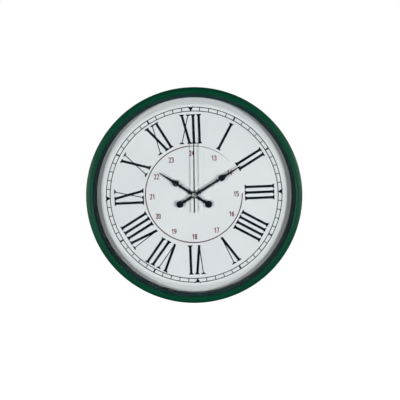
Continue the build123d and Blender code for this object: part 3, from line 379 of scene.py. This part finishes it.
@finish_of("copper")
def _(p):
    """Enamelled wire wound in close turns along the bobbin."""
    wire = 0.28 * MM
    turns = p.math("SINE", p.math("MULTIPLY", p.along("X"), 2 * pi / wire))
    base = p.mix(p.spread(turns, -1, 1), (0.30, 0.10, 0.035), (0.66, 0.29, 0.12))
    base = p.mix(p.spread(p.noise(1.5), 0.4, 0.7, 0.0, 0.5), base, (0.48, 0.20, 0.07))
    p.surface(base, p.spread(p.noise(0.6), 0.3, 0.7, 0.25, 0.4), p.bump(turns, 0.05), Metallic=0.8)


def moulded(p, low, high, grain, depth, rough=(0.45, 0.6), specks=None):
    """Moulded plastic: spark-eroded grain, flow clouds, scuffed edges."""
    cloud = p.noise(14, 4, 0.55)
    pits = p.cells(grain)
    base = p.mix(p.spread(cloud, 0.35, 0.65), low, high)
    if specks:
        base = p.mix(p.spread(p.noise(0.6, 4, 0.7), 0.62, 0.8, 0.0, 0.6), base, specks)
        scuffed = p.math("MULTIPLY", p.edges(0.3), p.spread(p.noise(4), 0.4, 0.6, 0.0, 0.5))
        base = p.mix(scuffed, base, specks)
    p.surface(base, p.spread(p.noise(6, 3), 0.3, 0.7, *rough), p.bump(pits, depth),
              Specular_IOR_Level=0.4)


@finish_of("back_black")
def _(p):
    moulded(p, (0.020, 0.021, 0.023), (0.032, 0.033, 0.035), 0.8, 0.04, (0.42, 0.6),
            (0.075, 0.075, 0.075))


@finish_of("case_plastic")
def _(p):
    moulded(p, (0.026, 0.026, 0.029), (0.040, 0.040, 0.043), 0.55, 0.03, (0.36, 0.5), (0.09, 0.09, 0.09))


@finish_of("knob_plastic")
def _(p):
    moulded(p, (0.05, 0.05, 0.05), (0.075, 0.075, 0.075), 0.6, 0.02, (0.34, 0.5), (0.14, 0.14, 0.14))


@finish_of("gear_plastic")
def _(p):
    moulded(p, (0.80, 0.79, 0.74), (0.88, 0.87, 0.83), 0.4, 0.008, (0.32, 0.45), (0.66, 0.63, 0.55))


@finish_of("black_rubber")
def _(p):
    moulded(p, (0.016, 0.016, 0.016), (0.030, 0.030, 0.031), 0.7, 0.03, (0.7, 0.85), (0.08, 0.08, 0.075))


@finish_of("magnet")
def _(p):
    moulded(p, (0.06, 0.06, 0.065), (0.10, 0.10, 0.105), 0.3, 0.02, (0.4, 0.55), (0.16, 0.16, 0.16))


@finish_of("epoxy")
def _(p):
    moulded(p, (0.006, 0.006, 0.006), (0.014, 0.014, 0.014), 1.2, 0.03, (0.15, 0.3))


@finish_of("board")
def _(p):
    """Solder resist with the weave of the laminate and paler copper tracks under it."""
    tracks = p.math("SINE", p.math("MULTIPLY", p.noise(4.5, 0), 60))
    base = p.mix(p.spread(tracks, 0.2, 0.5), (0.010, 0.105, 0.045), (0.030, 0.21, 0.085))
    base = p.mix(p.spread(p.noise(0.5, 2), 0.55, 0.75, 0.0, 0.3), base, (0.02, 0.15, 0.06))
    p.surface(base, p.spread(p.noise(2), 0.3, 0.7, 0.25, 0.4), p.bump(p.spread(tracks, 0.2, 0.5), 0.03))


@finish_of("battery_jacket")
def _(p):
    """Plain film jacket: dark body, a broad copper-coloured band, bare ends and fine scuffs."""
    along = p.along("X")
    band = p.spread(along, 9.8 * MM, 10.0 * MM)
    bare = p.spread(p.math("ABSOLUTE", along), 24.0 * MM, 24.2 * MM)
    scuff = p.spread(p.noise(1.2, 5, 0.75, p.stretched(0.25, 1, 1)), 0.56, 0.72, 0.0, 0.6)
    base = p.mix(band, (0.018, 0.019, 0.021), (0.62, 0.28, 0.10))
    base = p.mix(scuff, base, (0.20, 0.19, 0.18))
    base = p.mix(bare, base, (0.58, 0.58, 0.57))
    p.surface(base, p.spread(scuff, 0.0, 0.6, 0.22, 0.4), p.bump(p.noise(0.8), 0.01),
              Metallic=p.math("MAXIMUM", bare, p.math("MULTIPLY", band, 0.7)))


@finish_of("glass")
def _(p):
    """Clear float glass. Lamps shine straight through it, so that its flat panes cast no dark shadow."""
    smear = p.noise(26, 5, 0.6)
    glass = p.add("ShaderNodeBsdfPrincipled")
    glass.inputs["Base Color"].default_value = (0.985, 0.995, 0.99, 1)
    glass.inputs["Transmission Weight"].default_value = 1.0
    glass.inputs["Roughness"].default_value = 0.0
    glass.inputs["IOR"].default_value = 1.45
    p.join(p.bump(p.spread(smear, 0.3, 0.7), 0.002), glass.inputs["Normal"])
    clear = p.add("ShaderNodeBsdfTransparent")
    path = p.add("ShaderNodeLightPath")
    straight = p.math("MAXIMUM", path.outputs["Is Shadow Ray"], path.outputs["Is Diffuse Ray"])
    p.output(p.mix_shaders(straight, glass.outputs[0], clear.outputs[0]))


# ======== mesh building ========

SHARP_ANGLE, BEVEL_ANGLE, FLAT_ANGLE = radians(32), radians(30), radians(0.5)
WELD, CAD_WELD = 1e-7, 2e-6     # metres
TINY = 1e-4                     # millimetres, taken as nothing
CORNER_SHARE = 0.45             # the most of an edge that one rounded corner may take


def piece_from(name, bm, slot, body="case"):
    """Object from a bmesh, smooth shaded with sharp edges kept, riding on a body."""
    bmesh.ops.remove_doubles(bm, verts=bm.verts, dist=WELD)
    bmesh.ops.recalc_face_normals(bm, faces=bm.faces)
    mesh = bpy.data.meshes.new(name)
    bm.to_mesh(mesh)
    bm.free()
    mesh.polygons.foreach_set("use_smooth", [True] * len(mesh.polygons))
    mesh.set_sharp_from_angle(angle=SHARP_ANGLE)
    mesh.materials.append(paints[slot])
    piece = bpy.data.objects.new(name, mesh)
    bpy.context.scene.collection.objects.link(piece)
    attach(piece, body)
    return piece


def even_shading(piece):
    """Flat faces stay flat in the shading next to their rounded edges."""
    piece.modifiers.new("normals", "WEIGHTED_NORMAL").keep_sharp = True


def eased(points, radius, steps=4):
    """Closed profile with its corners rounded. A point's third number is its own radius."""
    done = []
    for i, point in enumerate(points):
        here = Vector(point[:2])
        before = Vector(points[i - 1][:2]) - here
        after = Vector(points[(i + 1) % len(points)][:2]) - here
        cut = point[2] if len(point) > 2 else radius
        cut = min(cut, before.length * CORNER_SHARE, after.length * CORNER_SHARE)
        if cut < TINY:
            done.append(tuple(here))
            continue
        start, end = here + before.normalized() * cut, here + after.normalized() * cut
        for step in range(steps + 1):
            t = step / steps
            done.append(tuple((1 - t) ** 2 * start + 2 * t * (1 - t) * here + t * t * end))
    return done


def spoke(bm, profile, angle, centre=(0.0, 0.0)):
    """New vertices of a profile of (radius, height), in the half-plane at a clock angle."""
    return [bm.verts.new(((centre[0] + r * sin(angle)) * MM, -h * MM, (centre[1] + r * cos(angle)) * MM))
            for r, h in profile]


def lathe(name, profile, slot, replaced, segments=256):
    """Solid of revolution about the hand axis from a closed profile of (radius, height)."""
    bm = bmesh.new()
    spokes = [spoke(bm, profile, 2 * pi * segment / segments) for segment in range(segments)]
    for segment, here in enumerate(spokes):
        there = spokes[(segment + 1) % segments]
        for i in range(len(profile)):
            j = (i + 1) % len(profile)
            if profile[i][0] > TINY or profile[j][0] > TINY:
                bm.faces.new((here[i], here[j], there[j], there[i]))
    bmesh.ops.remove_doubles(bm, verts=bm.verts, dist=WELD)
    bmesh.ops.dissolve_degenerate(bm, edges=bm.edges, dist=WELD)
    piece = piece_from(name, bm, slot)
    even_shading(piece)
    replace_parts(piece, *replaced)


def refined(name, node, slot, body="case", bevel=0.2):
    """A CAD node's shape with its flats made whole and its edges rounded."""
    bm = bmesh.new()
    bm.from_mesh(nodes[node].data)
    bmesh.ops.remove_doubles(bm, verts=bm.verts, dist=CAD_WELD)
    bmesh.ops.dissolve_limit(bm, angle_limit=FLAT_ANGLE, verts=bm.verts, edges=bm.edges)
    piece = piece_from(name, bm, slot, body)
    edge = piece.modifiers.new("edge", "BEVEL")
    edge.width = bevel * MM
    edge.segments = 2
    edge.limit_method = "ANGLE"
    edge.angle_limit = BEVEL_ANGLE
    edge.use_clamp_overlap = True
    even_shading(piece)
    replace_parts(piece, node)


def curve_points(start, middle, end, start_way, end_way, steps=14):
    """Smooth profile through three points with end directions, as two Hermite spans."""
    start, middle, end = Vector(start), Vector(middle), Vector(end)
    first, second = (middle - start).length, (end - middle).length
    through = (end - start).normalized()
    spans = [(start, Vector(start_way).normalized() * first, middle, through * first),
             (middle, through * second, end, Vector(end_way).normalized() * second)]
    points = []
    for a, va, b, vb in spans:
        for step in range(steps):
            t = step / steps
            points.append(tuple((2 * t**3 - 3 * t**2 + 1) * a + (t**3 - 2 * t**2 + t) * va
                                + (3 * t**2 - 2 * t**3) * b + (t**3 - t**2) * vb))
    return points + [tuple(end)]


# ======== case ========

FINE = 384      # segments of the pieces that show their edge
LIP_EASE = 0.15

outside = curve_points((OPENING_RADIUS, LIP_TOP), (CREST_RADIUS, CREST), (CASE_RADIUS, SHOULDER),
                       (0.35, 1), (0, -1))
inside = curve_points((CASE_RADIUS - SHEET, SHOULDER), (CREST_RADIUS, CREST - SHEET),
                      (OPENING_RADIUS + SHEET, LIP_BOTTOM), (0, 1), (-0.35, -1))
skirt = eased([(CASE_RADIUS, SHOULDER - 1, 0), (CASE_RADIUS, RETURN_BOTTOM, 1.0),
               (RETURN_RADIUS, RETURN_BOTTOM, 0.2), (RETURN_RADIUS, RETURN_BOTTOM + SHEET, 0.2),
               (CASE_RADIUS - SHEET, RETURN_BOTTOM + SHEET, 0.4),
               (CASE_RADIUS - SHEET, SHOULDER - 1, 0)], 0)
lip = [(OPENING_RADIUS + LIP_EASE, LIP_BOTTOM), (OPENING_RADIUS, LIP_BOTTOM + LIP_EASE)]
lathe("bezel_pressing", outside + skirt + inside + lip, "case_paint", ["bezel"], FINE)

lathe("drum_wall", eased([(DRUM_INSIDE, 0), (DRUM_RADIUS, 0), (DRUM_RADIUS, GLASS_FRONT),
                          (DRUM_INSIDE, GLASS_FRONT)], 0.35), "case_paint", ["case_drum"], FINE)
lathe("glass_pane", eased([(0, GLASS_BACK, 0), (LAID_IN, GLASS_BACK), (LAID_IN, GLASS_FRONT),
                           (0, GLASS_FRONT, 0)], 0.3, 2), "glass", ["glass"])
lathe("gasket_strip", eased([(OPENING_RADIUS, GLASS_FRONT), (LAID_IN, GLASS_FRONT),
                             (LAID_IN, LIP_BOTTOM), (OPENING_RADIUS, LIP_BOTTOM)], 0.2),
      "black_rubber", ["glass_gasket"])

BEND_END = DIAL_FLAT + DIAL_BEND * sin(DIAL_SLOPE)
BEND_DROP = DIAL_BEND * (1 - cos(DIAL_SLOPE))
DIAL_FOOT = DIAL_FACE - BEND_DROP - (DIAL_EDGE - BEND_END) * tan(DIAL_SLOPE)


def dial_section(level, steps=8):
    """The dial's surface from the bush to the edge under the ring, at a level of its flat."""
    bend = [(DIAL_FLAT + DIAL_BEND * sin(DIAL_SLOPE * step / steps),
             level - DIAL_BEND * (1 - cos(DIAL_SLOPE * step / steps))) for step in range(steps + 1)]
    foot = DIAL_FOOT + level - DIAL_FACE
    return [(DIAL_HOLE, level)] + bend + [(DIAL_EDGE, foot), (LAID_IN, foot)]


lathe("dial_sheet", dial_section(DIAL_FACE) + dial_section(DIAL_BACK)[::-1], "dial_white",
      ["dial_plate", "dial_surround"], FINE)
lathe("dial_ring", eased([(DIAL_EDGE, DIAL_FOOT), (DIAL_EDGE + RING_WALL, DIAL_FOOT),
                          (DIAL_EDGE + RING_WALL, GLASS_BACK - RING_WALL, 0.6),
                          (LAID_IN, GLASS_BACK - RING_WALL), (LAID_IN, GLASS_BACK),
                          (DIAL_EDGE, GLASS_BACK, 0.5)], 0.15, 3), "ring_slate", ["spacer_ring"])

refined("back_cover", "back_plate", "back_black", bevel=0.3)
refined("cover_screws", "back_plate_screws", "zinc_steel", bevel=0.12)
refined("rim_screws", "bezel_screws", "zinc_steel", bevel=0.12)
refined("rubber_pads", "wall_pads", "black_rubber", bevel=0.2)
refined("movement_front", "movement_case_front", "case_plastic", bevel=0.35)
refined("movement_rear", "movement_case_back", "case_plastic", bevel=0.35)
refined("knob", "setting_knob", "knob_plastic", "setting_knob_group", bevel=0.15)
refined("dial_nut", "mounting_nut", "brass", bevel=0.25)
refined("dry_cell", "battery", "battery_jacket", bevel=0.15)

# ======== dial print ========

# The small figures keep their CAD shape. The ring round them is whole from three o'clock to
# twelve. From there it gets thinner, breaks into dashes and is gone, as a painted glare reflection.
# Angles are in degrees.
RING_ARCS = ((91, 401), (403.2, 405.2), (406.8, 408.6))
FULL_TURN, RING_STEP = 360, 1.0
RING_LOSS = 0.5 / 41        # share of its width that the ring loses with each degree past twelve
RING_ROOM = 2               # millimetres inside the ring that hold nothing else


def red_print():
    """The CAD figures with a ring that thins and breaks off, a painted glare reflection, in place of the
    whole one.
    """
    bm = bmesh.new()
    bm.from_mesh(nodes["dial_24_hour_print"].data)
    on_ring = [v for v in bm.verts if Vector((v.co.x, v.co.z)).length > (RED_RING - RING_ROOM) * MM]
    bmesh.ops.delete(bm, geom=on_ring, context="VERTS")
    for first, last in RING_ARCS:
        count = round((last - first) / RING_STEP) + 1
        rows = []
        for step in range(count + 1):
            degrees = first + (last - first) * step / count
            half = RED_LINE / 2 * (1 - RING_LOSS * max(degrees - FULL_TURN, 0))
            section = [(RED_RING - half, DIAL_FACE), (RED_RING + half, DIAL_FACE),
                       (RED_RING + half, DIAL_FACE + INK), (RED_RING - half, DIAL_FACE + INK)]
            rows.append(spoke(bm, section, radians(degrees), RED_RING_CENTRE))
        for here, there in zip(rows, rows[1:]):
            for i in range(4):
                bm.faces.new((here[i], here[(i + 1) % 4], there[(i + 1) % 4], there[i]))
        bm.faces.new(rows[0])
        bm.faces.new(rows[-1])
    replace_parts(piece_from("red_figures", bm, "ink_red"), "dial_24_hour_print")


red_print()

# ======== hands ========

refined("hour_spade", "hour_hand", "hand_black", "hour_hand_group", bevel=0.12)
refined("minute_spade", "minute_hand", "hand_black", "minute_hand_group", bevel=0.12)
refined("seconds_needle", "second_hand", "second_grey", "second_hand_group", bevel=0.08)
refined("ring_nut", "hand_nut", "nickel", "minute_hand_group", bevel=0.1)
refined("seconds_cap", "second_hand_cap", "nickel", "second_hand_group", bevel=0.08)

# ======== remaining CAD nodes take their slot's paint ========

slot_of = {part["node"]: part["material_slot"] for part in frame["record"]["subparts"]}
for name, node in nodes.items():
    if node.hide_render:
        continue
    node.data.materials.clear()
    node.data.materials.append(paints[slot_of[name]])

# ======== studio ========

CLOCK = Vector((0, -0.031, 0))
CAMERA_DISTANCE, CAMERA_RISE, CAMERA_ROLL = 3.0, 4.6, 2.4
AIM_RIGHT, AIM_DOWN = 0.0079, 0.0075
SEEN_WIDTH, SENSOR = 0.566, 36.0

camera_data = bpy.data.cameras.new("camera")
camera_data.sensor_width = SENSOR
camera_data.lens = SENSOR * CAMERA_DISTANCE / SEEN_WIDTH
camera_data.clip_end = 60
camera = bpy.data.objects.new("camera", camera_data)
bpy.context.scene.collection.objects.link(camera)
rise = radians(CAMERA_RISE)
back = Vector((0, -cos(rise), sin(rise)))
up = Vector((0, sin(rise), cos(rise)))
camera.location = CLOCK + Vector((AIM_RIGHT, 0, 0)) - up * AIM_DOWN + back * CAMERA_DISTANCE
roll = Quaternion((0, 0, 1), -radians(CAMERA_ROLL))
camera.rotation_euler = ((-back).to_track_quat("-Z", "Y") @ roll).to_euler()
bpy.context.scene.camera = camera


def softbox(name, way, distance, size, power, shines=True, fills=True):
    """Round area light aimed at the clock from a direction.
    Without shines it makes no highlights, and without fills it makes nothing else."""
    data = bpy.data.lights.new(name, "AREA")
    data.shape = "DISK"
    data.size = size
    data.energy = power
    light = bpy.data.objects.new(name, data)
    bpy.context.scene.collection.objects.link(light)
    light.visible_glossy = shines
    light.visible_diffuse = fills
    way = Vector(way).normalized()
    light.location = CLOCK + way * distance
    light.rotation_euler = (-way).to_track_quat("-Z", "Y").to_euler()


# A lamp to each side of the camera, slightly below it, gives the hands their double shadows.
# Panels further out give the rim its sheen. Side and rear lamps are for the other views.
LAMP_LEAN, LAMP_DROP, PANEL_LEAN = radians(31), radians(5.5), radians(60)
LAMP_AHEAD, LAMP_BELOW = cos(LAMP_LEAN) * cos(LAMP_DROP), 0.6 * tan(LAMP_DROP)
for side, hand, power in ((-1, "left", 28.8), (1, "right", 31.8)):
    softbox("softbox_" + hand, (side * sin(LAMP_LEAN), -LAMP_AHEAD, -LAMP_BELOW),
            distance=2.5, size=0.25, power=power, shines=False)
    softbox("panel_" + hand, (side * sin(PANEL_LEAN), -cos(PANEL_LEAN), 0),
            distance=2.5, size=1.2, power=15, fills=False)
    softbox("side_" + hand, (side, 0.1, 0.1), distance=2.4, size=1.0, power=11)
softbox("rear_left", (-0.8, 1.0, 0.5), distance=2.2, size=0.9, power=14)
softbox("rear_right", (0.9, 1.0, 0.35), distance=2.2, size=0.9, power=10)

# The camera sees plain white. The object is lit by a dimmer surround, darker overhead, underfoot
# and in the opening that the photographer stands in.
SURROUND, DARK = 0.32, 0.03
LEVEL_END, STEEP = 0.1, 0.7     # sines of the rise over which the surround darkens
OPENING_WAY = (0, -0.997, -0.08)
OPENING_EDGE, OPENING_INSIDE = cos(radians(17)), cos(radians(9))

world = bpy.data.worlds.new("studio")
bpy.context.scene.world = world
sky = Nodes(world)
direction = sky.add("ShaderNodeTexCoord").outputs["Generated"]
steepness = sky.math("ABSOLUTE", sky.axis_of(direction, "Z"))
level = sky.spread(steepness, LEVEL_END, STEEP, SURROUND, DARK)
opening = sky.spread(sky.dot(direction, OPENING_WAY), OPENING_EDGE, OPENING_INSIDE, 1.0, DARK)
lit, seen = sky.add("ShaderNodeBackground"), sky.add("ShaderNodeBackground")
lit.inputs["Color"].default_value = (0.97, 0.99, 1.0, 1)
sky.join(sky.math("MULTIPLY", level, opening), lit.inputs["Strength"])
seen.inputs["Color"].default_value = (1, 1, 1, 1)
by_camera = sky.add("ShaderNodeLightPath").outputs["Is Camera Ray"]
sky.join(sky.mix_shaders(by_camera, lit.outputs[0], seen.outputs[0]),
         sky.add("ShaderNodeOutputWorld").inputs["Surface"])

FLOOR_LEVEL, FLOOR_HALF = -1.2, 9.0
bm = bmesh.new()
bmesh.ops.create_grid(bm, x_segments=2, y_segments=2, size=FLOOR_HALF)
floor_mesh = bpy.data.meshes.new("floor")
bm.to_mesh(floor_mesh)
bm.free()
floor = bpy.data.objects.new("floor", floor_mesh)
bpy.context.scene.collection.objects.link(floor)
floor.location = (0, 0, FLOOR_LEVEL)
floor_paint = Paint("floor_white")
shader = floor_paint.surface((0.9, 0.9, 0.9), 0.7)
shader.inputs["Emission Color"].default_value = (1, 1, 1, 1)
shader.inputs["Emission Strength"].default_value = 1.0
floor_mesh.materials.append(floor_paint.material)
for kind in ("diffuse", "glossy", "transmission", "shadow"):
    setattr(floor, "visible_" + kind, False)

bpy.context.scene.view_settings.view_transform = "Standard"

bpy.context.view_layer.update()
